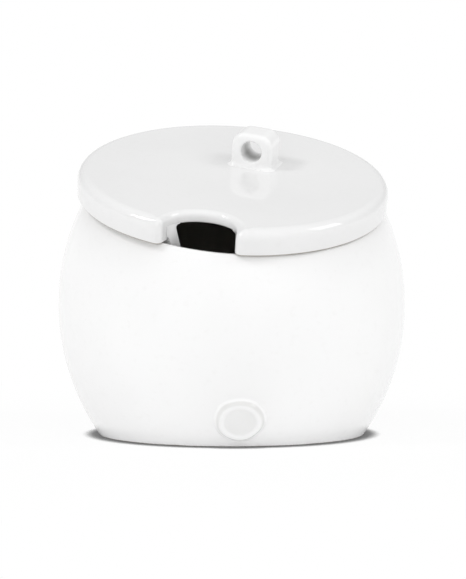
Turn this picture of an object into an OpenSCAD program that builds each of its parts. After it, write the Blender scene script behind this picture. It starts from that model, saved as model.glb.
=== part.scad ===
// Honey pot: a squat barrel of glazed ceramic with a slanted mouth. A loose round lid lies on the
// slant, with a half-round notch for a spoon in its rim and a small arched loop to lift it by.
// Millimetres. The origin is the middle of the foot on the table, +Z is up, and the mouth slopes
// down towards the front, -Y.

/* [Body] */
// Widest outside diameter of the pot
body_d = 104; // [94:1:120]
// Height of the widest level above the table
belly_h = 39; // [35:0.5:43]
// Radius of the side's curve, seen from the side
side_r = 68; // [62:1:84]
// Thickness of the pot's wall
wall = 4; // [3:0.25:5]
// Thickness of the floor above the foot's recess
floor_t = 5; // [3.5:0.25:7]
// Radius of the hollow's bottom corner
floor_corner_r = 9; // [4:0.5:14]

/* [Foot] */
// Width of the ring that the pot stands on
foot_ring_w = 4.5; // [3:0.25:8]
// Depth of the recess inside the foot ring
foot_recess = 1.5; // [0.5:0.25:3]
// Radius of the foot's outer edge
foot_edge_r = 0.8; // [0.5:0.1:2.5]

/* [Mouth] */
// Slope of the mouth, in degrees from level
mouth_tilt = 21; // [14:0.5:25]
// Height of the mouth's plane on the pot's axis
mouth_h = 74; // [68:0.5:78]
// Least width of the flat lip that the lid rests on
lip_w = 1.8; // [1.4:0.1:2.6]

/* [Lid] */
// How far the lid's rim stands out past the lip at its sides
lid_overhang = 2.6; // [1.2:0.1:4]
// Height of the lid's turned-down rim
rim_h = 7.7; // [6:0.1:11]
// Thickness of the lid's flat plate
plate_t = 3.4; // [2.6:0.1:5]
// Radius of the lid's top edge
rim_top_r = 3; // [1:0.1:3.2]
// Radius of the rim's bottom edge
rim_bottom_r = 0.8; // [0.3:0.1:1.5]
// Turn of the loose lid from the slope's low point, in degrees
lid_turn = -20.5; // [-180:0.5:180]
// Slip of the loose lid to the right on its seat
lid_slip = -1.25; // [-1.3:0.05:1.3]

/* [Spoon notch] */
// Radius of the half-round notch
notch_r = 11.2; // [7:0.1:14]
// How far the notch's centre lies inside the rim's edge
notch_in = 1.6; // [0:0.1:6]

/* [Flange] */
// Least gap left between the flange and the mouth, at the lip
flange_gap = 0.35; // [0.3:0.05:1]
// Thickness of the flange
flange_t = 2.8; // [2:0.1:4]
// How far the flange reaches below the lip
flange_drop = 4; // [2:0.25:6]
// Lean of the flange's sides, in degrees, narrower at the bottom
flange_lean = 14; // [4:1:16]
// Width of the groove between the flange's root and the rim
flange_groove = 0.3; // [0.2:0.1:0.8]

/* [Loop] */
// Width of the loop
loop_w = 12.6; // [10:0.1:16]
// Depth of the loop, along its eye
loop_depth = 9.5; // [5:0.1:12]
// Height of the loop above the lid
loop_h = 10.1; // [9.4:0.1:14]
// Radius of the loop's top corners
loop_corner_r = 3.8; // [2.2:0.1:4.8]
// Radius of the loop's front and back edges
loop_edge_r = 1.4; // [0.5:0.1:2]
// Radius of the fillet where the loop meets the lid
loop_fillet_r = 1.5; // [0.5:0.1:2.5]
// Distance of the loop behind the lid's middle
loop_back = 11.75; // [0:0.25:16]
// Distance of the loop to the right of the notch's line
loop_side = 4; // [-8:0.5:8]
// Turn of the loop from the notch's line, in degrees
loop_turn = -7; // [-30:0.5:30]
// Diameter of the loop's eye
eye_d = 6.4; // [4:0.1:6.8]
// Height of the eye's middle above the lid
eye_h = 4.8; // [4.2:0.1:5.4]
// Radius of the eye's edges
eye_edge_r = 0.6; // [0.3:0.1:0.9]

/* [Seal] */
// Diameter of the round seal on the front
seal_d = 13.6; // [9:0.1:16]
// How far the seal stands out from the pot
seal_t = 1.5; // [0.8:0.1:2.4]
// Height of the seal's middle above the table
seal_h = 8; // [7.5:0.1:20]
// Turn of the seal from the front, in degrees
seal_turn = -6; // [-30:0.5:30]
// Width of the seal's raised border
seal_border_w = 1.5; // [0.8:0.1:3]
// Depth of the seal's plain middle below its border
seal_dish = 0.5; // [0.2:0.1:0.7]
// Radius of the seal's outer edge
seal_edge_r = 0.7; // [0.2:0.1:0.8]

/* [Hidden] */
$fn = 128;

// How far a cut runs past the face that it opens
cut = 1;
// Sides that the pot's round form is drawn with, fine enough for the seal to lie on it
barrel_sides = 480;
glaze = [0.93, 0.93, 0.92];

// The side's curve is a circle in the pot's profile, with its middle across the axis
side_c = body_d / 2 - side_r;

// Outside radius of the pot at a height
function side_at(z) = side_c + sqrt(side_r * side_r - (z - belly_h) * (z - belly_h));

// Radius at which the mouth's plane meets the side: uphill is 1 at the back and -1 at the front
mouth_slope = tan(mouth_tilt);
mouth_rise = mouth_h - belly_h;
function mouth_meets(uphill) =
    let (a = 1 + mouth_slope * mouth_slope)
    let (b = side_c - uphill * mouth_rise * mouth_slope)
    let (c = side_c * side_c + mouth_rise * mouth_rise - side_r * side_r)
    (b + sqrt(b * b - a * c)) / a;

// The mouth's middle, along its slope from the pot's axis, and its half width across
mouth_front = mouth_meets(-1) / cos(mouth_tilt);
mouth_back = mouth_meets(1) / cos(mouth_tilt);
mouth_mid = (mouth_back - mouth_front) / 2;
mouth_mid_r = side_at(mouth_h + mouth_mid * sin(mouth_tilt));
mouth_half_w = sqrt(pow(mouth_mid_r, 2) - pow(mouth_mid * cos(mouth_tilt), 2));
lip_r = min(mouth_half_w, (mouth_front + mouth_back) / 2);
mouth_bore_r = lip_r - lip_w;

// The lid rests on the lip's plane, and its flange hangs in the mouth's bore, with play for the slip
lid_r = lip_r + lid_overhang;
plate_z = rim_h - plate_t;
flange_play = flange_gap + abs(lid_slip);
flange_r = mouth_bore_r - flange_play;
flange_root_r = flange_r + plate_z * tan(flange_lean);
rim_inner_r = flange_root_r + flange_groove;
flange_tip_r = flange_r - flange_drop * tan(flange_lean);
bore_depth = flange_drop + flange_play;
floor_z = foot_recess + floor_t;
eye_r = eye_d / 2;

// Dip of the pot's surface at the seal, and how deep the seal's root reaches to follow the curve
seal_dip = asin((belly_h - seal_h) / side_r);
seal_root = seal_d / 4;

// Places its children on the mouth's plane, with +Z square to it and -Y downhill
module on_mouth() {
    translate([0, 0, mouth_h])
        rotate([mouth_tilt, 0, 0])
            translate([0, mouth_mid, 0])
                children();
}

// Places its children in the lid's own frame, with the notch towards -Y
module on_lid() {
    on_mouth()
        translate([lid_slip, 0, 0])
            rotate([0, 0, lid_turn])
                children();
}

// Half profile of a disc with rounded top and bottom edges
module disc_profile(r, h, top_r, bottom_r) {
    square([r - top_r, h]);
    translate([0, bottom_r])
        square([r, h - top_r - bottom_r]);
    square([r - bottom_r, h - top_r]);
    translate([r - top_r, h - top_r])
        circle(top_r);
    translate([r - bottom_r, bottom_r])
        circle(bottom_r);
}

// Half profile of a barrel that stands on a level, with its bottom corner rounded
module barrel_profile(r, bottom, corner_r) {
    reach = 2 * r;
    corner_z = bottom + corner_r;
    corner_x = side_c + sqrt(pow(r - corner_r, 2) - pow(belly_h - corner_z, 2));
    away = [corner_x - side_c, corner_z - belly_h] * reach / (r - corner_r);
    difference() {
        intersection() {
            translate([side_c, belly_h])
                circle(r);
            translate([0, bottom])
                square(reach);
        }
        translate([corner_x, corner_z])
            polygon([[0, 0], [0, -reach], [reach, -reach], away]);
    }
    translate([corner_x, corner_z])
        circle(corner_r);
}

module barrel(r, bottom, corner_r) {
    $fn = barrel_sides;
    rotate_extrude()
        barrel_profile(r, bottom, corner_r);
}

// The whole outside of the pot, before the mouth is cut
module pot_outside() {
    barrel(side_r, 0, foot_edge_r);
}

module pot_body() {
    color(glaze)
    difference() {
        pot_outside();
        barrel(side_r - wall, floor_z, floor_corner_r);
        on_mouth()
            cylinder(r = body_d, h = body_d);
        on_mouth()
            translate([0, 0, -bore_depth])
                cylinder(r = mouth_bore_r, h = bore_depth + cut);
        translate([0, 0, -cut])
            cylinder(r = side_at(0) - foot_ring_w, h = foot_recess + cut);
    }
}

// The seal's back follows the pot's curve, because the pot is cut from it
module front_seal() {
    color(glaze)
    difference() {
        rotate([0, 0, seal_turn])
            translate([0, -side_at(seal_h), seal_h])
                rotate([90 + seal_dip, 0, 0])
                    rotate_extrude()
                        difference() {
                            translate([0, -seal_root])
                                disc_profile(seal_d / 2, seal_root + seal_t, seal_edge_r, seal_edge_r);
                            translate([0, seal_t - seal_dish])
                                square([seal_d / 2 - seal_border_w, seal_dish + cut]);
                        }
        pot_outside();
    }
}

// The half-round way for the spoon, through the plate, the rim and the flange
module spoon_notch() {
    translate([0, notch_in - lid_r, -flange_drop - cut])
        cylinder(r = notch_r, h = flange_drop + rim_h + 2 * cut);
}

module lid_plate() {
    color(glaze)
    on_lid()
        difference() {
            rotate_extrude()
                difference() {
                    disc_profile(lid_r, rim_h, rim_top_r, rim_bottom_r);
                    translate([0, -cut])
                        square([rim_inner_r, plate_z + cut]);
                }
            spoon_notch();
        }
}

module lid_flange() {
    color(glaze)
    on_lid()
        difference() {
            rotate_extrude()
                polygon([
                    [flange_root_r - flange_t, plate_z],
                    [flange_root_r, plate_z],
                    [flange_tip_r, -flange_drop],
                    [flange_tip_r - flange_t, -flange_drop]
                ]);
            spoon_notch();
        }
}

// Plan of the loop's foot: a rectangle with rounded corners
module loop_plan() {
    square([loop_w - 2 * loop_edge_r, loop_depth], center = true);
    square([loop_w, loop_depth - 2 * loop_edge_r], center = true);
    for (x = [-1, 1], y = [-1, 1])
        translate([x * (loop_w / 2 - loop_edge_r), y * (loop_depth / 2 - loop_edge_r)])
            circle(loop_edge_r);
}

// Side view of the loop's top, with its front and back edges rounded
module loop_side_view() {
    square([loop_depth, loop_h - loop_edge_r]);
    translate([loop_edge_r, 0])
        square([loop_depth - 2 * loop_edge_r, loop_h]);
    for (x = [loop_edge_r, loop_depth - loop_edge_r])
        translate([x, loop_h - loop_edge_r])
            circle(loop_edge_r);
}

// The loop without its eye: a block below, a bar on top and a rounded disc at each top corner
module loop_block() {
    corner_x = loop_w / 2 - loop_corner_r;
    linear_extrude(loop_h - loop_corner_r)
        loop_plan();
    translate([-corner_x, -loop_depth / 2, 0])
        rotate([90, 0, 90])
            linear_extrude(2 * corner_x)
                loop_side_view();
    for (x = [-corner_x, corner_x])
        translate([x, loop_depth / 2, loop_h - loop_corner_r])
            rotate([90, 0, 0])
                rotate_extrude()
                    disc_profile(loop_corner_r, loop_depth, loop_edge_r, loop_edge_r);
}

// Section of a fillet: what a round leaves of a corner
module fillet_section() {
    difference() {
        square(loop_fillet_r);
        translate([loop_fillet_r, loop_fillet_r])
            circle(loop_fillet_r);
    }
}

// A straight fillet along X, out from a wall that faces -Y
module fillet_run(length) {
    translate([-length / 2, 0, 0])
        rotate([90, 0, 90])
            linear_extrude(length)
                mirror([1, 0])
                    fillet_section();
}

// The fillet all round the loop's foot
module loop_fillet() {
    flat_w = loop_w - 2 * loop_edge_r;
    flat_depth = loop_depth - 2 * loop_edge_r;
    for (turn = [0, 180])
        rotate([0, 0, turn]) {
            translate([0, -loop_depth / 2, 0])
                fillet_run(flat_w);
            rotate([0, 0, 90])
                translate([0, -loop_w / 2, 0])
                    fillet_run(flat_depth);
        }
    for (x = [-1, 1], y = [-1, 1])
        translate([x * flat_w / 2, y * flat_depth / 2, 0])
            rotate_extrude()
                translate([loop_edge_r, 0])
                    fillet_section();
}

// The round eye, opened out at both ends by its rounded edges
module loop_eye() {
    translate([0, loop_depth / 2, eye_h])
        rotate([90, 0, 0]) {
            translate([0, 0, -cut])
                cylinder(r = eye_r, h = loop_depth + 2 * cut);
            for (end = [0, 1])
                translate([0, 0, end * loop_depth])
                    mirror([0, 0, end])
                        rotate_extrude()
                            difference() {
                                translate([0, -cut])
                                    square([eye_r + eye_edge_r, eye_edge_r + cut]);
                                translate([eye_r + eye_edge_r, eye_edge_r])
                                    circle(eye_edge_r);
                            }
        }
}

module lid_loop() {
    color(glaze)
    on_lid()
        translate([loop_side, loop_back, rim_h])
            rotate([0, 0, loop_turn])
                difference() {
                    union() {
                        loop_block();
                        loop_fillet();
                    }
                    loop_eye();
                }
}

pot_body();
front_seal();
lid_plate();
lid_flange();
lid_loop();
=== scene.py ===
# %% [markdown]
# # A honey pot with a slanted, loose lid
# The pot is a squat barrel of white glazed clay. Its mouth is cut on a slant, and a round lid lies
# on that slant, with a half-round notch for a spoon and a small loop to lift it by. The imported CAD
# model gives the frame: the middle of the foot is the origin, +Z is up and the mouth slopes down
# towards -Y. Each piece here is modelled in metres in that same frame and rides on a CAD body.

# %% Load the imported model
import bmesh
import bpy
import math
from mathutils import Matrix, Vector


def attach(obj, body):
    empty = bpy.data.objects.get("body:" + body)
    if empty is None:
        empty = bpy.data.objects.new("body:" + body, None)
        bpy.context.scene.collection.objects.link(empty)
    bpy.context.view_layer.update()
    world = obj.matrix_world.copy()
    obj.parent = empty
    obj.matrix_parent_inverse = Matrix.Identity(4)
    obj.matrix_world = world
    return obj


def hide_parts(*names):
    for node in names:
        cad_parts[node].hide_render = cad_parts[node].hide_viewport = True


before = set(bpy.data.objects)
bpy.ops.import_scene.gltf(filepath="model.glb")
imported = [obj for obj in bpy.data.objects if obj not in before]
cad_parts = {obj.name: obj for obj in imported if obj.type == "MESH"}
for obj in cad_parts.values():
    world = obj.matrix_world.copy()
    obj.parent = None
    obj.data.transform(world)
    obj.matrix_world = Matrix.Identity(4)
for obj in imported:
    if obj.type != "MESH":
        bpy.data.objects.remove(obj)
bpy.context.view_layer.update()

# %% [markdown]
# ## The pot's outside
# A pot like this is cast in a mould that was turned on a wheel, so its side is one curve that goes
# round an axis. A subdivided cylinder could be scaled ring by ring, but it would only come near the
# curve. Drawing half of the profile and spinning it gives the true form at once. The profile is drawn
# as one does with a pen: a vertex is pulled out to the next corner, or turned round the middle of an arc.

# %% A pen for profiles
mm = 0.001


def line_to(bm, pen, x, z):
    """Pulls the pen's vertex out to a new one at (x, z) in the profile's plane."""
    tip = bmesh.ops.extrude_vert_indiv(bm, verts=[pen])["verts"][0]
    tip.co = (x, 0, z)
    return tip


def arc_to(bm, pen, middle, degrees, steps, axis=(0, -1, 0)):
    """Turns the pen's vertex round a middle. In a profile, a positive angle goes the way from +X to +Z."""
    turned = bmesh.ops.spin(bm, geom=[pen], cent=middle, axis=axis, angle=math.radians(degrees), steps=steps)
    return next(g for g in turned["geom_last"] if isinstance(g, bmesh.types.BMVert))


def angle_from(x, y, tip_x, tip_y):
    """Angle in degrees at which one point of a plane sees another."""
    return math.degrees(math.atan2(tip_y - y, tip_x - x))


print("one millimetre is", mm, "m")

# %% A spin that closes its seam and its poles
tiny = 0.001 * mm
upright = (0, 0, 1)


def spin_round(bm, profile, steps):
    """Spins a profile's vertices and edges once round the upright axis and returns all that came of it."""
    others = set(bm.verts) - set(profile)
    edges = list(dict.fromkeys(e for v in profile for e in v.link_edges))
    bmesh.ops.spin(bm, geom=profile + edges, cent=(0, 0, 0), axis=upright,
                   angle=2 * math.pi, steps=steps, use_merge=True)
    bmesh.ops.remove_doubles(bm, verts=[v for v in bm.verts if v not in others], dist=tiny)
    return [v for v in bm.verts if v not in others]


print("points nearer than", tiny / mm, "mm become one")

# %% The side's curve
side_r = 68 * mm
side_x = -16 * mm
belly_z = 39 * mm


def barrel_at(z, r=side_r):
    """Radius of the barrel at a height, for the outside or, with a smaller r, for the inside."""
    return side_x + math.sqrt(r * r - (z - belly_z) ** 2)


def corner_on(r, floor, corner_r):
    """Middle of the round between the barrel's side and a floor, and where that round meets the side."""
    z = floor + corner_r
    x = side_x + math.sqrt((r - corner_r) ** 2 - (belly_z - z) ** 2)
    share = r / (r - corner_r)
    return x, z, side_x + (x - side_x) * share, belly_z + (z - belly_z) * share


print("belly diameter in mm:", round(2000 * barrel_at(belly_z), 2))
print("foot diameter in mm:", round(2000 * barrel_at(0), 2))

# %% Spin the outside, from the recess under the foot to a level mouth
meridians = 160
mouth_z = 74 * mm
recess_z = 1.5 * mm
recess_round = 0.9 * mm
ring_in = 35.2 * mm
ring_round = 0.5 * mm
foot_round = 0.8 * mm

pot = bmesh.new()
inside_layer = pot.verts.layers.float.new("inside")
pen = pot.verts.new((0, 0, recess_z))
for share in (0.3, 0.6, 0.9):
    pen = line_to(pot, pen, share * ring_in, recess_z)
pen = line_to(pot, pen, ring_in - recess_round, recess_z)
pen = arc_to(pot, pen, (ring_in - recess_round, 0, recess_z - recess_round), -90, 4)
pen = line_to(pot, pen, ring_in, ring_round)
pen = arc_to(pot, pen, (ring_in + ring_round, 0, ring_round), 90, 3)
foot_x, foot_z, heel_x, heel_z = corner_on(side_r, 0, foot_round)
pen = line_to(pot, pen, 0.5 * (ring_in + foot_x), 0)
pen = line_to(pot, pen, foot_x, 0)
heel = angle_from(foot_x, foot_z, heel_x, heel_z)
pen = arc_to(pot, pen, (foot_x, 0, foot_z), 90 + heel, 6)
brow = math.degrees(math.asin((mouth_z - belly_z) / side_r))
arc_to(pot, pen, (side_x, 0, belly_z), brow - heel, 56)
spin_round(pot, pot.verts[:], meridians)
print("outside:", len(pot.verts), "vertices,", len(pot.faces), "faces")

# %% [markdown]
# ## The slanted mouth
# On the real pot the slant is part of the mould. A bisect plane would cut it too, but it would leave
# slivers where it crosses the rings. Here the upper rings lean over step by step instead, each point
# staying on the barrel, until the last ring lies in the slanted plane. The faces stay even, and the
# lip can then be pulled inwards from that ring.

# %% The mouth's plane, and the rings that lean over to it
tilt = math.radians(21)
mouth_mid = -9.382 * mm
on_mouth = (Matrix.Translation((0, 0, mouth_z)) @ Matrix.Rotation(tilt, 4, "X")
            @ Matrix.Translation((0, mouth_mid, 0)))
lean_from = 24 * mm


def slant_at(turn, r, below):
    """Height at which a meridian of the barrel meets the mouth's plane, or one that lies below it."""
    z = mouth_z
    for _ in range(40):
        z = mouth_z - below / math.cos(tilt) + barrel_at(z, r) * math.sin(turn) * math.tan(tilt)
    return z


def lean(verts, r, level, below):
    """Leans the rings below a level one over, so that this one comes to lie in the slanted plane."""
    for v in verts:
        share = max(0.0, (v.co.z - lean_from) / (level - lean_from))
        if share:
            turn = math.atan2(v.co.y, v.co.x)
            v.co.z = lean_from + share * (slant_at(turn, r, below) - lean_from)
            reach = barrel_at(v.co.z, r)
            v.co.x = reach * math.cos(turn)
            v.co.y = reach * math.sin(turn)


lean(pot.verts, side_r, mouth_z, 0)
lip_edges = [e for e in pot.edges if e.is_boundary]
lowest = min(v.co.z for e in lip_edges for v in e.verts)
print("lip:", len(lip_edges), "edges, lowest at", round(lowest / mm, 2), "mm")

# %% Rings of vertices


def ring_of(edges):
    """The vertices of a closed row of edges, in order."""
    row = set(edges)
    start = edges[0].verts[0]
    ring, last = [start], None
    while True:
        step = next(e for e in ring[-1].link_edges if e in row and e is not last)
        here, last = step.other_vert(ring[-1]), step
        if here is start:
            return ring
        ring.append(here)


def ring_edges(bm, ring):
    """The edges between the neighbours of a closed ring of vertices."""
    return [bm.edges.get((a, b)) for a, b in zip(ring, ring[1:] + ring[:1])]


def pull_ring(bm, ring):
    """Extrudes a closed ring of vertices and returns the new ring, in the same order."""
    made = bmesh.ops.extrude_edge_only(bm, edges=ring_edges(bm, ring))["geom"]
    fresh = {g for g in made if isinstance(g, bmesh.types.BMVert)}
    return [next(e.other_vert(v) for e in v.link_edges if e.other_vert(v) in fresh) for v in ring]


lip_ring = ring_of(lip_edges)
print("the lip's ring has", len(lip_ring), "points")

# %% The lip and the bore, pulled in from the last ring
bore_r = 41.515 * mm
bore_depth = 5.6 * mm
to_mouth = on_mouth.inverted()

bore_rings = []
ring = lip_ring
for drop in (0.15, 0.4, 0.7, 1):
    ring = pull_ring(pot, ring)
    for v in ring:
        flat = to_mouth @ v.co
        flat.z = 0
        v.co = on_mouth @ (flat.normalized() * bore_r - Vector((0, 0, drop * bore_depth)))
    bore_rings.append(ring)
widths = [(a.co - b.co).length / mm for a, b in zip(lip_ring, bore_rings[0])]
print("lip width in mm:", round(min(widths), 2), "to", round(max(widths), 2))

# %% [markdown]
# ## The pot's inside
# The hollow follows the outside at the thickness of the wall, with a well rounded corner at the floor
# so that a spoon can reach everything. It is spun and leaned in the same way and then bridged to the
# bore, so the pot is one closed skin like a real cup. A Solidify modifier would be quicker, but it
# couldn't make the foot's recess, the thicker floor or the straight bore.

# %% Spin the hollow and join it to the bore
wall = 4 * mm
floor_z = 6.5 * mm
corner_r = 9 * mm
inner_r = side_r - wall
inner_level = 68 * mm

before = set(pot.verts)
pen = pot.verts.new((0, 0, floor_z))
corner_x, corner_z, turn_x, turn_z = corner_on(inner_r, floor_z, corner_r)
for share in (0.35, 0.7, 1):
    pen = line_to(pot, pen, share * corner_x, floor_z)
cove = angle_from(corner_x, corner_z, turn_x, turn_z)
pen = arc_to(pot, pen, (corner_x, 0, corner_z), 90 + cove, 10)
inner_brow = math.degrees(math.asin((inner_level - belly_z) / inner_r))
arc_to(pot, pen, (side_x, 0, belly_z), inner_brow - cove, 30)
inside = spin_round(pot, [v for v in pot.verts if v not in before], meridians)
lean(inside, inner_r, inner_level, bore_depth)
# The hollow's faces are turned to look inwards first, or the bridge would twist.
bmesh.ops.reverse_faces(pot, faces=list({f for v in inside for f in v.link_faces}))
bmesh.ops.bridge_loops(pot, edges=[e for e in pot.edges if e.is_boundary])
bmesh.ops.recalc_face_normals(pot, faces=pot.faces)
print("open edges left in the pot:", sum(not e.is_manifold for e in pot.edges))

# %% Mark the inside and soften the lip's two edges
lip_round = 0.6 * mm

for v in inside:
    v[inside_layer] = 1.0
for share, ring in zip((0.0, 0.5, 0.8, 1.0), bore_rings):
    for v in ring:
        v[inside_layer] = share


def soften(bm, edges, offset, segments):
    """Rounds edges off, as glaze does."""
    bmesh.ops.bevel(bm, geom=edges, offset=offset, offset_type="OFFSET", affect="EDGES",
                    segments=segments, profile=0.5, material=-1, clamp_overlap=True)


soften(pot, ring_edges(pot, lip_ring) + ring_edges(pot, bore_rings[0]), lip_round, 4)
print("pot:", len(pot.faces), "faces, clay in cm3:", round(pot.calc_volume(signed=True) * 1e6, 1))

# %% [markdown]
# ## A finished piece
# A bmesh is only a workbench. Each finished one is written to a mesh, and its object stays at the
# origin with its place in its vertices, just as the CAD nodes are. The piece then replaces its CAD
# node and rides on that node's body.

# %% From the workbench to the scene


def keep_piece(bm, name, body, nodes):
    """Writes the bmesh to a smooth-shaded object that stands for CAD nodes and rides on their body."""
    mesh = bpy.data.meshes.new(name)
    bm.to_mesh(mesh)
    bm.free()
    for face in mesh.polygons:
        face.use_smooth = True
    piece = bpy.data.objects.new(name, mesh)
    bpy.context.scene.collection.objects.link(piece)
    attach(piece, body)
    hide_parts(*nodes)
    print(name, "has", len(mesh.polygons), "faces")
    return piece


pot_shell = keep_piece(pot, "pot_shell", "pot", ["pot_body"])

# %% [markdown]
# ## The round seal
# A small disc of clay is pressed on low at the front: a plain dished middle inside a soft bead. Its
# edge is smeared into the pot, so it has no undercut. It is spun flat, made a little uneven, and then
# bent back over the pot's curve, most at the edge and less in the middle, because the stamp that
# pressed it was flat.

# %% Spin the seal
seal_profile = ((0, 0.95), (1.5, 0.95), (3.0, 0.96), (3.9, 0.99), (4.35, 1.05), (4.7, 1.18), (5.05, 1.33),
                (5.35, 1.44), (5.7, 1.48), (6.0, 1.42), (6.25, 1.26), (6.47, 1.02), (6.67, 0.76),
                (6.87, 0.5), (7.1, 0.28), (7.35, 0.12), (7.6, 0.0), (7.8, -0.15))

seal = bmesh.new()
seal_shade = seal.verts.layers.float.new("painted_shade")
pen = seal.verts.new((0, 0, seal_profile[0][1] * mm))
for x, z in seal_profile[1:]:
    pen = line_to(seal, pen, x * mm, z * mm)
spin_round(seal, seal.verts[:], 112)
print("seal:", 2 * seal_profile[-1][0], "mm across,", len(seal.verts), "vertices")

# %% Mark the seal's painted shade, make it uneven and bend it
seal_z = 8 * mm
seal_dip = math.asin((belly_z - seal_z) / side_r)
across_r = barrel_at(seal_z) / math.cos(seal_dip)
dish_r = 4.3 * mm
bead_r = 5.5 * mm
smear_r = 6.6 * mm
fade = 0.9 * mm
smear_fade = 0.6 * mm
hold_r = 4.7 * mm
hold_fade = 2.1 * mm
middle_hold = 0.45
calm_r = 5 * mm
squat = 0.95


def smooth_step(share):
    """Goes from 0 to 1 with a soft start and a soft end."""
    share = min(1.0, max(0.0, share))
    return share * share * (3 - 2 * share)


def uneven(turn):
    """How far the seal's outline strays from a circle."""
    return 1 + 0.012 * math.sin(3 * turn + 0.8) + 0.009 * math.sin(5 * turn + 2.1)


for v in seal.verts:
    reach = math.hypot(v.co.x, v.co.y)
    turn = math.atan2(v.co.y, v.co.x)
    dish = 1 - smooth_step((reach - dish_r) / fade)
    skirt = smooth_step((reach - bead_r) / fade) * (1 - smooth_step((reach - smear_r) / smear_fade))
    # Painted shade: greyer in the dish and in a ring round the foot of the bead, most at the top.
    v[seal_shade] = 0.45 * dish + (0.65 + 0.35 * math.sin(turn)) * skirt
    v.co.y *= squat
    v.co.xy *= uneven(turn)
    v.co.z *= 1 + 0.07 * math.sin(2 * turn + 0.4) * min(1.0, reach / calm_r)
    hold = middle_hold + (1 - middle_hold) * min(1.0, max(0.0, (reach - hold_r) / hold_fade))
    v.co.z -= hold * (v.co.x ** 2 / (2 * across_r) + v.co.y ** 2 / (2 * side_r))
print("the pot falls back below the seal by", round(math.degrees(seal_dip), 1), "degrees")

# %% Close the seal's back and press it on
seal_turn = math.radians(-6)
seal_sink = 1.2 * mm

back_ring = pull_ring(seal, ring_of([e for e in seal.edges if e.is_boundary]))
for v in back_ring:
    v.co.z -= seal_sink
seal.faces.new(back_ring)
bmesh.ops.recalc_face_normals(seal, faces=seal.faces)
on_front = (Matrix.Rotation(seal_turn, 4, "Z") @ Matrix.Translation((0, -barrel_at(seal_z), seal_z))
            @ Matrix.Rotation(math.pi / 2 + seal_dip, 4, "X"))
bmesh.ops.transform(seal, matrix=on_front, verts=seal.verts)
print("seal stands out to y in mm:", round(min(v.co.y for v in seal.verts) / mm, 2))
seal_disc = keep_piece(seal, "seal_disc", "pot", ["front_seal"])

# %% [markdown]
# ## The lid
# The lid is a flat plate with a turned-down rim, bitten by a half-round notch. A Boolean cut would
# leave a hard, ragged notch, and glaze never lies on a hard edge. So the outline with its notch is
# drawn first, out of arcs that run into each other, and walls are pulled up from it: the C-shaped rim,
# then the plate over it, and last the round of the top edge, wide at the rim and small at the notch.
# The notch was cut by hand, so as a last step its right end is pressed in a little.

# %% The lid's frame and the places where its arcs meet
lid_r = 45.87 * mm
rim_in = 41.287 * mm
notch_r = 11.2 * mm
notch_y = -44.315 * mm
tip_r = 2 * mm
lid_turn = math.radians(-20.5)
lid_slip = -1.25 * mm
on_lid = on_mouth @ Matrix.Translation((lid_slip, 0, 0)) @ Matrix.Rotation(lid_turn, 4, "Z")


def notch_angle(r, reach):
    """Angle to the notch's line at which a circle round the lid's middle meets one round the notch's."""
    cosine = (r * r + notch_y * notch_y - reach * reach) / (2 * r * -notch_y)
    return math.degrees(math.acos(cosine))


def on_circle(r, degrees):
    """Point of a circle round the lid's middle, at an angle to the right of the notch's line."""
    turn = math.radians(degrees)
    return Vector((r * math.sin(turn), -r * math.cos(turn), 0))


notch_mid = Vector((0, notch_y, 0))
tip_turn = notch_angle(lid_r - tip_r, notch_r + tip_r)
tip = on_circle(lid_r - tip_r, tip_turn)
left_tip = Vector((-tip.x, tip.y, 0))
tip_seen = angle_from(0, notch_y, tip.x, tip.y)
inner_turn = notch_angle(rim_in, notch_r)
inner_end = on_circle(rim_in, inner_turn)
inner_seen = angle_from(0, notch_y, inner_end.x, inner_end.y)
print("notch opens over", round(2 * tip_turn, 1), "degrees of the rim")

# %% Draw the rim's C-shaped outline
rim_round = 0.8 * mm

lid = bmesh.new()
wiped_shade_layer = lid.verts.layers.float.new("wiped_and_shaded")
pen = lid.verts.new(on_circle(lid_r, tip_turn) + Vector((0, 0, rim_round)))
for middle, degrees, steps in (
    ((0, 0, 0), 360 - 2 * tip_turn, 150),
    (left_tip, 90 + tip_turn - tip_seen, 6),
    (notch_mid, tip_seen - inner_seen, 3),
    ((0, 0, 0), 2 * inner_turn - 360, 140),
    (notch_mid, tip_seen - inner_seen, 3),
    (tip, 90 + tip_turn - tip_seen, 6),
):
    pen = arc_to(lid, pen, middle, degrees, steps, upright)
bmesh.ops.remove_doubles(lid, verts=lid.verts, dist=tiny)
rim_ring = ring_of(lid.edges[:])
print("the rim's outline has", len(rim_ring), "points and closes:", len(rim_ring) == len(lid.verts))

# %% The rim: a rounded foot below, a wall above
plate_z = 4.3 * mm

rim_foot = bmesh.ops.contextual_create(lid, geom=lid.edges[:])["faces"]
if rim_foot[0].normal.z > 0:
    rim_foot[0].normal_flip()
turned = 0.0
for degrees in (22.5, 45, 67.5, 90):
    angle = math.radians(degrees)
    bmesh.ops.inset_region(lid, faces=rim_foot, use_even_offset=True, use_boundary=True,
                           thickness=rim_round * (math.cos(turned) - math.cos(angle)),
                           depth=rim_round * (math.sin(angle) - math.sin(turned)))
    turned = angle
# The rim's foot is marked for bare clay and for the painted shadow line below the rim.
for v in lid.verts:
    v[wiped_shade_layer] = 1 - v.co.z / rim_round
rim_top = pull_ring(lid, rim_ring)
for v in rim_top:
    v.co.z = plate_z
    v[wiped_shade_layer] = 0.0
print("rim foot lies at z in mm:", round(min(v.co.z for v in lid.verts) / mm, 3))

# %% The plate's underside, closed across the notch


def is_inner(v):
    """True for a point on the rim's inner circle."""
    return abs(v.co.xy.length - rim_in) < tiny


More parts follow.
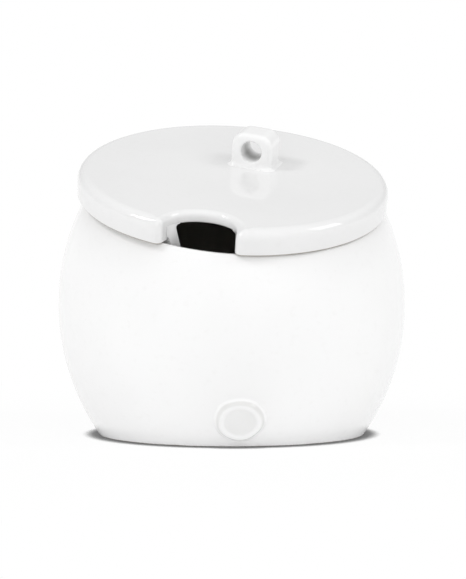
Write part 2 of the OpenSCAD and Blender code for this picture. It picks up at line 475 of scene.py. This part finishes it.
left_end = Vector((-inner_end.x, inner_end.y, plate_z))
pen = min((v for v in rim_top if is_inner(v)), key=lambda v: (v.co - left_end).length)
arc_to(lid, pen, notch_mid + Vector((0, 0, plate_z)), 2 * inner_seen - 180, 24, upright)
bmesh.ops.remove_doubles(lid, verts=lid.verts, dist=tiny)
under_edges = [e for e in lid.edges if e.is_wire or (e.is_boundary and all(is_inner(v) for v in e.verts))]
bmesh.ops.contextual_create(lid, geom=under_edges)
notch_back = [e for e in under_edges if e.is_boundary]
outline = ring_of([e for e in lid.edges if e.is_boundary])
print("the plate's outline has", len(outline), "points, of which", len(notch_back) - 1, "behind the notch")

# %% Which way is in along the plate's outline, and how round its top edge is there
rim_h = 7.7 * mm
rim_top_r = 3 * mm
notch_top_r = 1.75 * mm
rim_blend, tip_blend = 3, 80  # degrees

spots = [v.co.xy.copy() for v in outline]
swept = sum(a.x * b.y - a.y * b.x for a, b in zip(spots, spots[1:] + spots[:1]))
inward, insets, drops = [], [], []
for before_it, here, after_it in zip(spots[-1:] + spots[:-1], spots, spots[1:] + spots[:1]):
    along = (here - before_it).normalized() + (after_it - here).normalized()
    inward.append(Vector((-along.y, along.x)).normalized() * (1 if swept > 0 else -1))
    off_notch = math.degrees(math.acos(max(-1.0, min(1.0, -here.y / here.length)))) - tip_turn
    from_tip = here - Vector((math.copysign(tip.x, here.x), tip.y))
    bent = math.degrees(from_tip.angle(here)) if abs(from_tip.length - tip_r) < tiny else 90
    if abs(here.length - lid_r) < tiny:
        insets.append(notch_top_r + (rim_top_r - notch_top_r) * smooth_step(off_notch / rim_blend))
        drops.append(rim_top_r)
    else:
        insets.append(notch_top_r)
        drops.append(rim_top_r + (notch_top_r - rim_top_r) * smooth_step(bent / tip_blend))
print("the top edge is rounded by", round(min(insets) / mm, 2), "to", round(max(insets) / mm, 2), "mm")

# %% The plate's edge: up the wall, over the top edge and closed
flat_rim = 0.25 * mm
under_round = 0.45 * mm

ring = outline
for degrees, further in ((0, 0), (15, 0), (30, 0), (45, 0), (60, 0), (75, 0), (90, 0), (90, flat_rim)):
    ring = pull_ring(lid, ring)
    angle = math.radians(degrees)
    for v, spot, way, inset, drop in zip(ring, spots, inward, insets, drops):
        v.co.xy = spot + way * (inset * (1 - math.cos(angle)) + further)
        v.co.z = rim_h - drop * (1 - math.sin(angle))
        v[wiped_shade_layer] = 0.0
bmesh.ops.contextual_create(lid, geom=ring_edges(lid, ring))
bmesh.ops.recalc_face_normals(lid, faces=lid.faces)
soften(lid, notch_back, under_round, 3)
print("open edges left in the lid:", sum(not e.is_manifold for e in lid.edges))

# %% The notch's right end, pressed in below by the hand that cut it
press = math.radians(1.6)
press_from, press_to = 4, 26  # degrees
press_r = 36 * mm
press_depth = 2.4 * mm

for v in lid.verts:
    turn = math.degrees(math.atan2(v.co.x, -v.co.y))
    near = smooth_step((turn - press_from) / 7) * smooth_step((press_to - turn) / 11)
    outer = smooth_step((v.co.xy.length - press_r) / (7 * mm))
    low = smooth_step((rim_h - v.co.z) / press_depth)
    v.co = Matrix.Rotation(-press * near * outer * low, 3, "Z") @ v.co
bmesh.ops.transform(lid, matrix=on_lid, verts=lid.verts)
print("volume of the lid in cm3:", round(lid.calc_volume() * 1e6, 2))
lid_cover = keep_piece(lid, "lid_cover", "lid", ["lid_plate"])

# %% [markdown]
# ## The flange under the lid
# A ring under the plate hangs in the mouth and keeps the lid from sliding down the slant. It leans in
# a little, so the lid finds its place by itself, and the notch cuts it open. Its section is one face
# with a rounded tip. Spinning the face part of the way round leaves a closed bar, and its two ends are
# then turned to lie on the notch's own circle. The right end was trimmed a little more than the left.

# %% Draw the flange's section
flange_r = 39.915 * mm
flange_t = 2.8 * mm
flange_drop = 4 * mm
flange_lean = math.tan(math.radians(14))
flange_tip_r = 1 * mm
root_z = plate_z + 0.2 * mm
root_r = rim_in + 0.15 * mm
cove_r = 1.3 * mm
groove_fill = ((41.44, 1.6), (41.0, 1.2), (40.6, 0.85), (40.25, 0.55), (40.02, 0.3), (39.915, 0))


def flange_inner(z):
    """Radius of the flange's inner side at a height."""
    return flange_r + z * flange_lean - flange_t


section = [(flange_inner(plate_z) - cove_r, root_z), (root_r, root_z)]
section += [(x * mm, z * mm) for x, z in groove_fill]
section += [(flange_inner(-flange_drop) + flange_t, -flange_drop), (flange_inner(-flange_drop), -flange_drop)]
for degrees in (0, 18, 36, 54, 72, 90):
    angle = math.radians(degrees)
    z = plate_z - cove_r * (1 - math.sin(angle))
    section.append((flange_inner(z) - cove_r * (1 - math.cos(angle)), z))
flange = bmesh.new()
corners = [flange.verts.new((x, 0, z)) for x, z in section]
flange.faces.new(corners)
tip_corners = [v for v in corners if v.co.z < tiny - flange_drop]
bmesh.ops.bevel(flange, geom=tip_corners, offset=flange_tip_r, offset_type="OFFSET", affect="VERTICES",
                segments=5, profile=0.5, material=-1)
for cut in (37.2, 38.2, 39.2, 40.2, 40.9):
    bmesh.ops.bisect_plane(flange, geom=flange.verts[:] + flange.edges[:] + flange.faces[:], dist=tiny,
                           plane_co=(cut * mm, 0, 0), plane_no=(1, 0, 0))
print("the flange's section has", len(flange.verts), "points in", len(flange.faces), "faces")

# %% Spin the section from one side of the notch to the other
right_trim = 1.6 * mm

first_end = flange.verts[:]
begin = notch_angle(flange_r - flange_t / 2, notch_r)
bmesh.ops.rotate(flange, verts=first_end, cent=(0, 0, 0),
                 matrix=Matrix.Rotation(math.radians(begin - 90), 3, "Z"))
swung = bmesh.ops.spin(flange, geom=flange.faces[:], cent=(0, 0, 0), axis=upright,
                       angle=math.radians(360 - 2 * begin), steps=150)
last_end = [g for g in swung["geom_last"] if isinstance(g, bmesh.types.BMVert)]
for end, side, most_trim in ((first_end, 1, right_trim), (last_end, -1, 0)):
    for v in end:
        reach = v.co.xy.length
        trim = max(0.0, most_trim * (plate_z - v.co.z) / plate_z)
        at = math.radians(notch_angle(reach, notch_r)) + trim / reach
        v.co.xy = (side * reach * math.sin(at), -reach * math.cos(at))
bmesh.ops.recalc_face_normals(flange, faces=flange.faces)
print("the flange runs round over", round(360 - 2 * begin, 1), "degrees")

# %% Soften the flange's cut ends
end_round = 0.3 * mm
crease = 1.0  # radians

end_points = set(first_end + last_end)
caps = [f for f in flange.faces if end_points.issuperset(f.verts)]
free_edges = [e for f in caps for e in f.edges
              if sum(near in caps for near in e.link_faces) == 1
              and min(v.co.xy.length for v in e.verts) < rim_in]
soften(flange, free_edges, end_round, 2)
for e in flange.edges:
    e.smooth = e.calc_face_angle() < crease
bmesh.ops.transform(flange, matrix=on_lid, verts=flange.verts)
print("the cut ends have", len(caps), "faces; open edges:", sum(not e.is_manifold for e in flange.edges))
flange_ring = keep_piece(flange, "flange_ring", "lid", ["lid_flange"])

# %% [markdown]
# ## The loop on the lid
# The loop is a small squarish bridge of clay with a round eye, stuck on with slip that leaves a soft
# fillet at its foot. A cube with a hole cut through it would keep hard edges. Here the eye's circle is
# pulled out ring by ring: along the bore, round the eye's edge, over the front face to the outline and
# round its edge to the middle. Mirroring that half gives the whole loop. It stands a little askew on
# the lid, as a hand sets it.

# %% Where a spoke from the eye meets the loop's outline
loop_half_w = 6.3 * mm
loop_half_depth = 4.75 * mm
loop_h = 10.1 * mm
loop_corner_r = 3.8 * mm
loop_edge_r = 1.4 * mm
loop_fillet_r = 1.5 * mm
loop_sink = 1.5 * mm
eye_r = 3.2 * mm
eye_h = 4.8 * mm
eye_edge_r = 0.6 * mm
corner_x, corner_z = loop_half_w - loop_corner_r, loop_h - loop_corner_r
almost_none = 1e-6


def outline_reach(across, up):
    """Distance from the eye's middle to the loop's outline along a spoke."""
    to_side = loop_half_w / max(abs(across), almost_none)
    to_end = (loop_h - eye_h if up > 0 else eye_h + loop_sink) / max(abs(up), almost_none)
    reach = min(to_side, to_end)
    corner_up = corner_z - eye_h
    if reach * abs(across) > corner_x and reach * up > corner_up:
        toward = abs(across) * corner_x + up * corner_up
        reach = toward + math.sqrt(toward ** 2 - corner_x ** 2 - corner_up ** 2 + loop_corner_r ** 2)
    return reach


def inward_at(x, z):
    """Way from a point of the outline in which the round of the loop's edge leads in."""
    if z < tiny - loop_sink:
        return Vector((-x / loop_half_w, 0))
    return -Vector((x - max(-corner_x, min(corner_x, x)), max(0.0, z - corner_z))).normalized()


print("the loop is", round(2000 * outline_reach(1, 0), 2), "mm wide at the eye")

# %% Start from the eye
loop = bmesh.new()
loop_shade = loop.verts.layers.float.new("painted_shade")
bmesh.ops.create_circle(loop, cap_ends=False, segments=360, radius=eye_r,
                        matrix=Matrix.Translation((0, 0, eye_h)) @ Matrix.Rotation(math.pi / 2, 4, "X"))
ring = ring_of(loop.edges[:])
# Painted shade in the loop's eye: greyer towards the eye's bottom.
for v in ring:
    v[loop_shade] = 0.65 - 0.35 * (v.co.z - eye_h) / eye_r
eye_mid = Vector((0, eye_h))
spokes = [(v.co.xz - eye_mid) / eye_r for v in ring]
ends = [eye_mid + outline_reach(*spoke) * spoke for spoke in spokes]
ways = [inward_at(*end) for end in ends]
longest = max((end - eye_mid).length for end in ends)
print("the loop has", len(spokes), "spokes, up to", round(longest / mm, 2), "mm long")

# %% Pull the front half of the loop out of the eye


def ring_at(depth, spots):
    """Pulls the next ring out of the last one, to a depth and to a spot for each of its points."""
    fresh = pull_ring(loop, ring)
    for v, spot in zip(fresh, spots):
        v.co = (spot.x, depth, spot.y)
        v[loop_shade] = 0.0
    return fresh


front = -loop_half_depth
ring = ring_at(front + eye_edge_r, [eye_mid + eye_r * spoke for spoke in spokes])
for degrees in (22.5, 45, 67.5, 90):
    angle = math.radians(degrees)
    wide = eye_r + eye_edge_r * (1 - math.cos(angle))
    hole = [eye_mid + wide * spoke for spoke in spokes]
    ring = ring_at(front + eye_edge_r * (1 - math.sin(angle)), hole)
face_ends = [end + loop_edge_r * way for end, way in zip(ends, ways)]
for step in range(1, 11):
    ring = ring_at(front, [a.lerp(b, 0.1 * step) for a, b in zip(hole, face_ends)])
for degrees in (15, 30, 45, 60, 75, 90):
    angle = math.radians(degrees)
    inset = loop_edge_r * (1 - math.sin(angle))
    ring = ring_at(front + loop_edge_r * (1 - math.cos(angle)),
                   [end + inset * way for end, way in zip(ends, ways)])
for depth in (0.5 * front, 0):
    ring = ring_at(depth, ends)
print("half of the loop has", len(loop.faces), "faces")

# %% Flare the foot, mirror the half and set the loop on the lid
loop_side = 4 * mm
loop_back = 11.75 * mm
loop_turn = math.radians(-7)

for v in loop.verts:
    low = loop_fillet_r - max(0.0, v.co.z)
    if low > 0:
        flare = loop_fillet_r - math.sqrt(loop_fillet_r ** 2 - low ** 2)
        over_x = max(0.0, abs(v.co.x) - (loop_half_w - loop_edge_r)) * math.copysign(1, v.co.x)
        over_y = min(0.0, v.co.y - (front + loop_edge_r))
        away = Vector((over_x, over_y, 0))
        if away.length > tiny:
            v.co += away.normalized() * flare
bmesh.ops.mirror(loop, geom=loop.verts[:] + loop.edges[:] + loop.faces[:], axis="Y", merge_dist=tiny)
bmesh.ops.recalc_face_normals(loop, faces=loop.faces)
loop_place = on_lid @ Matrix.Translation((loop_side, loop_back, rim_h)) @ Matrix.Rotation(loop_turn, 4, "Z")
bmesh.ops.transform(loop, matrix=loop_place, verts=loop.verts)
print("open edges left in the loop:", sum(not e.is_manifold for e in loop.edges))
grip_loop = keep_piece(loop, "grip_loop", "lid", ["lid_loop"])

# %% [markdown]
# ## White glaze
# The glaze is a glassy white skin over pale clay. It isn't one flat white: it lies a little thicker in
# some places, it has a faint grain from the clay below, and its surface is never quite even. An image
# could paint that, but noise in Object coordinates needs no file and fits every piece at one scale. The
# amounts are small on purpose, because this glaze is clean and bright. The lid and its flange are a
# touch greyer than the pot, and the loop lies between the two.

# %% Helpers for shader nodes


def grey(level):
    """A colour without a hue."""
    return (level, level, level, 1)


def add_node(tree, kind, **settings):
    """Adds a shader node, sets its properties and gives it back."""
    made = tree.nodes.new(kind)
    for key, value in settings.items():
        setattr(made, key, value)
    return made


def feed(tree, value, socket):
    """Links another node's output to a socket, or sets the socket's own number or colour."""
    if isinstance(value, bpy.types.NodeSocket):
        tree.links.new(value, socket)
    else:
        socket.default_value = value


def empty_tree(owner, output_kind):
    """Gives a material or a world a fresh node tree. Returns it with the socket for what is seen."""
    owner.use_nodes = True
    tree = owner.node_tree
    tree.nodes.clear()
    return tree, add_node(tree, output_kind).inputs["Surface"]


print("grey(0.9) is the colour", grey(0.9))

# %% Nodes that count and mix


def add_noise(tree, place, scale, detail):
    """A noise pattern on the piece's own coordinates. Scale counts its waves in a metre."""
    noise = add_node(tree, "ShaderNodeTexNoise")
    noise.inputs["Scale"].default_value = scale
    noise.inputs["Detail"].default_value = detail
    tree.links.new(place, noise.inputs["Vector"])
    return noise.outputs["Fac"]


def add_range(tree, value, low, high, to_low, to_high):
    """Maps a value smoothly from one range to another."""
    ranged = add_node(tree, "ShaderNodeMapRange", interpolation_type="SMOOTHSTEP")
    for socket, number in zip(ranged.inputs[1:5], (low, high, to_low, to_high)):
        socket.default_value = number
    tree.links.new(value, ranged.inputs["Value"])
    return ranged.outputs["Result"]


def add_math(tree, operation, *values):
    """One step of arithmetic with numbers or other nodes' outputs."""
    made = add_node(tree, "ShaderNodeMath", operation=operation)
    for value, socket in zip(values, made.inputs):
        feed(tree, value, socket)
    return made.outputs["Value"]


def add_mix(tree, share, first, second):
    """Mixes two colours. Of a Mix node's many sockets, these two and this output are the ones for colours."""
    mix = add_node(tree, "ShaderNodeMix", data_type="RGBA")
    tree.links.new(share, mix.inputs["Factor"])
    feed(tree, first, mix.inputs[6])
    feed(tree, second, mix.inputs[7])
    return mix.outputs[2]


print("node helpers are ready")

# %% The glaze itself
grain_colour = (0.62, 0.60, 0.56, 1)
ripple_strength = 0.05
ripple_height = 0.6 * mm


def white_glaze(name, thin, thick):
    """A white glaze that drifts between a thin and a thick tint, with the sockets that later steps need."""
    material = bpy.data.materials.new(name)
    tree, surface = empty_tree(material, "ShaderNodeOutputMaterial")
    skin = add_node(tree, "ShaderNodeBsdfPrincipled")
    skin.inputs["IOR"].default_value = 1.5
    tree.links.new(skin.outputs["BSDF"], surface)
    place = add_node(tree, "ShaderNodeTexCoord").outputs["Object"]
    drift = add_noise(tree, place, 28, 2)
    grain = add_noise(tree, place, 520, 3)
    ripple = add_noise(tree, place, 85, 1)
    tint = add_mix(tree, add_range(tree, drift, 0.35, 0.65, 0, 1), thin, thick)
    tint = add_mix(tree, add_range(tree, grain, 0.56, 0.74, 0, 0.05), tint, grain_colour)
    polish = add_range(tree, drift, 0.3, 0.7, 0.035, 0.07)
    bump = add_node(tree, "ShaderNodeBump")
    bump.inputs["Strength"].default_value = ripple_strength
    bump.inputs["Distance"].default_value = ripple_height
    tree.links.new(ripple, bump.inputs["Height"])
    tree.links.new(tint, skin.inputs["Base Color"])
    tree.links.new(polish, skin.inputs["Roughness"])
    tree.links.new(bump.outputs["Normal"], skin.inputs["Normal"])
    return {"material": material, "tree": tree, "skin": skin, "place": place, "tint": tint, "polish": polish}


def dress(piece, glaze):
    """Gives a piece its glaze."""
    piece.data.materials.append(glaze["material"])
    print(glaze["material"].name, "has", len(glaze["tree"].nodes), "nodes")


lid_whites = grey(0.84), grey(0.857)
dress(flange_ring, white_glaze("flange_white_glaze", *lid_whites))

# %% [markdown]
# ## Bare clay where a piece stands, painted dark as shade
# Glaze melts in the kiln and would glue a pot to its shelf, so potters wipe it off wherever a piece
# stands: on the foot ring, and under the rim of the lid. Bare clay is matte, warmer and grainier. Here
# it is also painted far darker than clay, as painted shade: under the lid it draws the shadow line below
# the rim, and at the foot it darkens the contact line. The foot's line follows the height above the
# table, the rim's an attribute of the lid's mesh, because the lid is tilted and its rim isn't level.

# %% Changes to a glaze


def cover(glaze, share, colour):
    """Lays another colour over the glaze where the share is 1."""
    glaze["tint"] = add_mix(glaze["tree"], share, glaze["tint"], colour)
    glaze["tree"].links.new(glaze["tint"], glaze["skin"].inputs["Base Color"])


def marked(glaze, name):
    """An attribute that was written to the mesh."""
    return add_node(glaze["tree"], "ShaderNodeAttribute", attribute_name=name).outputs["Fac"]


def stirred(glaze, value, amount):
    """Adds a little noise to a value, so that a line drawn by it wavers."""
    waver = add_noise(glaze["tree"], glaze["place"], 140, 2)
    return add_math(glaze["tree"], "MULTIPLY_ADD", waver, amount, value)


lid_glaze = white_glaze("lid_white_glaze", *lid_whites)
lid_wiped_shade = stirred(lid_glaze, marked(lid_glaze, "wiped_and_shaded"), 0.2)
print("before it is wiped, the lid's glaze has", len(lid_glaze["tree"].nodes), "nodes")

# %% Wipe the glaze off, and paint shade where it is wiped
# Bare clay colours, painted far darker than clay as shade under the lid's rim and at the foot.
clay_shade_dark = (0.30, 0.28, 0.25, 1)
clay_shade_pale = (0.46, 0.44, 0.40, 1)
clay_rough = 0.7


def wipe_and_shade(glaze, share):
    """Shows bare clay where the share is 1, in colours darkened as painted shade, and rough."""
    tree = glaze["tree"]
    grit = add_noise(tree, glaze["place"], 1800, 4)
    cover(glaze, share, add_mix(tree, grit, clay_shade_dark, clay_shade_pale))
    dull = add_math(tree, "MULTIPLY_ADD", share, clay_rough, glaze["polish"])
    tree.links.new(dull, glaze["skin"].inputs["Roughness"])


# Bare clay and a painted shadow line along the foot of the lid's rim.
wipe_and_shade(lid_glaze, add_range(lid_glaze["tree"], lid_wiped_shade, 0.42, 0.54, 0, 1))
dress(lid_cover, lid_glaze)

# %% [markdown]
# ## Painted shade in the hollows
# The loop's eye, the dish of the seal and the ring round the foot of its bead are painted a greyer
# colour as shade, darkest low in the eye. A brush stroke could paint that, but the meshes already
# know where their hollows are, so an attribute carries it.

# %% The loop's and the seal's glaze
# Greys painted as shade into the loop's eye, and into the seal's dish and round its bead.
eye_shade_colour = (0.47, 0.47, 0.46, 1)
dish_shade_colour = (0.76, 0.76, 0.75, 1)
pot_whites = grey(0.925), grey(0.94)


def painted_shade(glaze, colour):
    """Paints shade: the glaze goes over to a greyer colour where the piece's attribute for painted shade is
    high.
    """
    share = stirred(glaze, marked(glaze, "painted_shade"), 0.2)
    cover(glaze, add_range(glaze["tree"], share, 0.1, 1.1, 0, 1), colour)


loop_glaze = white_glaze("loop_white_glaze", grey(0.9), grey(0.92))
painted_shade(loop_glaze, eye_shade_colour)
dress(grip_loop, loop_glaze)
seal_glaze = white_glaze("seal_white_glaze", *pot_whites)
painted_shade(seal_glaze, dish_shade_colour)
dress(seal_disc, seal_glaze)

# %% [markdown]
# ## The pot's white, its painted inside shade and its bare foot
# Outside the pot is white. Inside it is painted grey as shade, which deepens the dark of the hollow and
# ends in a slightly wavy line below the lip. Through the notch it looks black, because hardly any light
# gets in and the inside is painted grey. The ring that the pot stands on is bare clay, painted dark as
# shade. One material holds all three: the painted shade inside follows an attribute that was written to
# the mesh, and the bare ring follows the height above the table, both stirred by a little noise.

# %% White outside, painted shade inside, bare clay below
inside_shade_colour = (0.56, 0.54, 0.50, 1)
bare_to = 0.3 * mm
glazed_from = 0.45 * mm
bare_waver = 0.4 * mm

pot_glaze = white_glaze("pot_glaze", *pot_whites)
tree = pot_glaze["tree"]
inside_shade_line = stirred(pot_glaze, marked(pot_glaze, "inside"), 0.15)
# Paints the inside grey as shade, up to a wavy line below the lip.
cover(pot_glaze, add_range(tree, inside_shade_line, 0.3, 0.4, 0, 1), inside_shade_colour)
height = add_node(tree, "ShaderNodeSeparateXYZ")
tree.links.new(pot_glaze["place"], height.inputs["Vector"])
bare_line = stirred(pot_glaze, height.outputs["Z"], bare_waver)
# Bare clay at the foot, in the clay colours that are darkened as painted shade.
wipe_and_shade(pot_glaze, add_range(tree, bare_line, bare_to, glazed_from, 1, 0))
dress(pot_shell, pot_glaze)

# %% [markdown]
# ## Table and room
# The pot stands on a plain white table. Where the camera or a reflection sees the table, it is plain
# white, except close under the pot. There the table darkens as much as the pot hides the room from it,
# which is what a contact shadow is, and a part of the lamps' real shadow is mixed in. The room is white
# at the horizon and in front, greyer behind and overhead, and dim at the sides. An even white room would
# leave a white pot without form, because every side of it would get the same light.

# %% The table
table_reach = 6
table_drop = 0.03 * mm

table = bmesh.new()
bmesh.ops.create_grid(table, x_segments=8, y_segments=8, size=table_reach)
bmesh.ops.translate(table, verts=table.verts, vec=(0, 0, -table_drop))
table_mesh = bpy.data.meshes.new("table_top")
table.to_mesh(table_mesh)
table.free()
table_top = bpy.data.objects.new("table_top", table_mesh)
scene = bpy.context.scene
scene.collection.objects.link(table_top)
print("table:", len(table_mesh.polygons), "faces")

# %% The table's white
contact_reach = 5 * mm
shadow_from = 45 * mm
shadow_to = 200 * mm

table_white = bpy.data.materials.new("table_white")
tree, surface = empty_tree(table_white, "ShaderNodeOutputMaterial")
matte = add_node(tree, "ShaderNodeBsdfDiffuse")
matte.inputs["Color"].default_value = grey(0.97)
shown = add_node(tree, "ShaderNodeEmission")
nearby = add_node(tree, "ShaderNodeAmbientOcclusion", samples=8)
nearby.inputs["Distance"].default_value = contact_reach
tree.links.new(add_range(tree, nearby.outputs["AO"], 0.4, 0.9, 0.12, 1.0), shown.inputs["Strength"])
rays = add_node(tree, "ShaderNodeLightPath").outputs
seen = add_math(tree, "MAXIMUM", rays["Is Camera Ray"], rays["Is Glossy Ray"])
seen = add_math(tree, "MAXIMUM", seen, rays["Is Transmission Ray"])
reach = add_node(tree, "ShaderNodeVectorMath", operation="LENGTH")
tree.links.new(add_node(tree, "ShaderNodeTexCoord").outputs["Object"], reach.inputs[0])
clear = add_range(tree, reach.outputs["Value"], shadow_from, shadow_to, 0.9, 1.0)
blend = add_node(tree, "ShaderNodeMixShader")
tree.links.new(add_math(tree, "MULTIPLY", seen, clear), blend.inputs["Fac"])
tree.links.new(matte.outputs["BSDF"], blend.inputs[1])
tree.links.new(shown.outputs["Emission"], blend.inputs[2])
tree.links.new(blend.outputs["Shader"], surface)
table_mesh.materials.append(table_white)
print("table white:", len(tree.nodes), "nodes")

# %% The room
side_tone, top_tone, back_tone, front_tone = grey(0.25), grey(0.68), grey(0.62), grey(1.12)

room = bpy.data.worlds.new("white_room")
scene.world = room
tree, surface = empty_tree(room, "ShaderNodeOutputWorld")
walls = add_node(tree, "ShaderNodeBackground")
way = add_node(tree, "ShaderNodeSeparateXYZ")
tree.links.new(add_node(tree, "ShaderNodeTexCoord").outputs["Generated"], way.inputs["Vector"])
ahead = add_range(tree, way.outputs["Y"], -0.9, -0.1, 1, 0)
behind = add_range(tree, way.outputs["Y"], 0.1, 0.9, 0, 1)
overhead = add_range(tree, way.outputs["Z"], 0.35, 0.8, 0, 1)
above = add_range(tree, way.outputs["Z"], 0.09, 0.35, 0, 1)
shade = add_mix(tree, overhead, side_tone, top_tone)
shade = add_mix(tree, behind, shade, back_tone)
shade = add_mix(tree, ahead, shade, front_tone)
tree.links.new(add_mix(tree, above, grey(1), shade), walls.inputs["Color"])
tree.links.new(walls.outputs["Background"], surface)
scene.view_settings.view_transform = "Standard"
print("room: white in front, grey behind and overhead, dim at the sides")

# %% [markdown]
# ## Two soft boxes
# The loop throws a soft shadow on the lid to each side, so there is a lamp on each side. A sun lamp
# would throw hard shadows, and the room alone would throw none. Flat lamps of about the size of a sheet
# of card do it, the left one smaller and stronger, because the shadow that falls to the right is clearer.

# %% Set up the lamps
lamp_aim = Vector((0, 0, 50 * mm))


def soft_box(name, place, width, height, power):
    """A flat lamp at a place, aimed at the pot."""
    lamp = bpy.data.lights.new(name, "AREA")
    lamp.shape = "RECTANGLE"
    lamp.size = width
    lamp.size_y = height
    lamp.energy = power
    box = bpy.data.objects.new(name, lamp)
    box.location = place
    box.rotation_euler = (lamp_aim - Vector(place)).to_track_quat("-Z", "Y").to_euler()
    scene.collection.objects.link(box)


soft_box("left_box", (-1.0, -0.33, 1.0), 0.35, 0.35, 4.3)
soft_box("right_box", (1.0, -0.5, 0.9), 0.45, 0.6, 3.2)

# %% [markdown]
# ## The camera
# The photograph was taken from about the height of the lid's middle and from some way off, so the lid
# shows its top only by its slant, and the pot's sides hardly converge. A long lens at 0.7 m gives that.
# The camera stands nine degrees to the left of the mouth's low point and looks down by two degrees.

# %% Place the camera
camera_far = 0.7
camera_h = 69.9 * mm
camera_round = math.radians(9)
look_aside = math.radians(9.032)
look_down = math.radians(2.18)

camera_data = bpy.data.cameras.new("camera")
camera_data.sensor_width = 36
camera_data.lens = 144.93
camera_data.clip_start = 0.05
camera = bpy.data.objects.new("camera", camera_data)
camera.location = (-camera_far * math.sin(camera_round), -camera_far * math.cos(camera_round), camera_h)
look = Vector((math.sin(look_aside) * math.cos(look_down), math.cos(look_aside) * math.cos(look_down),
               -math.sin(look_down)))
camera.rotation_euler = look.to_track_quat("-Z", "Y").to_euler()
scene.collection.objects.link(camera)
scene.camera = camera
print("camera at", [round(c, 4) for c in camera.location])
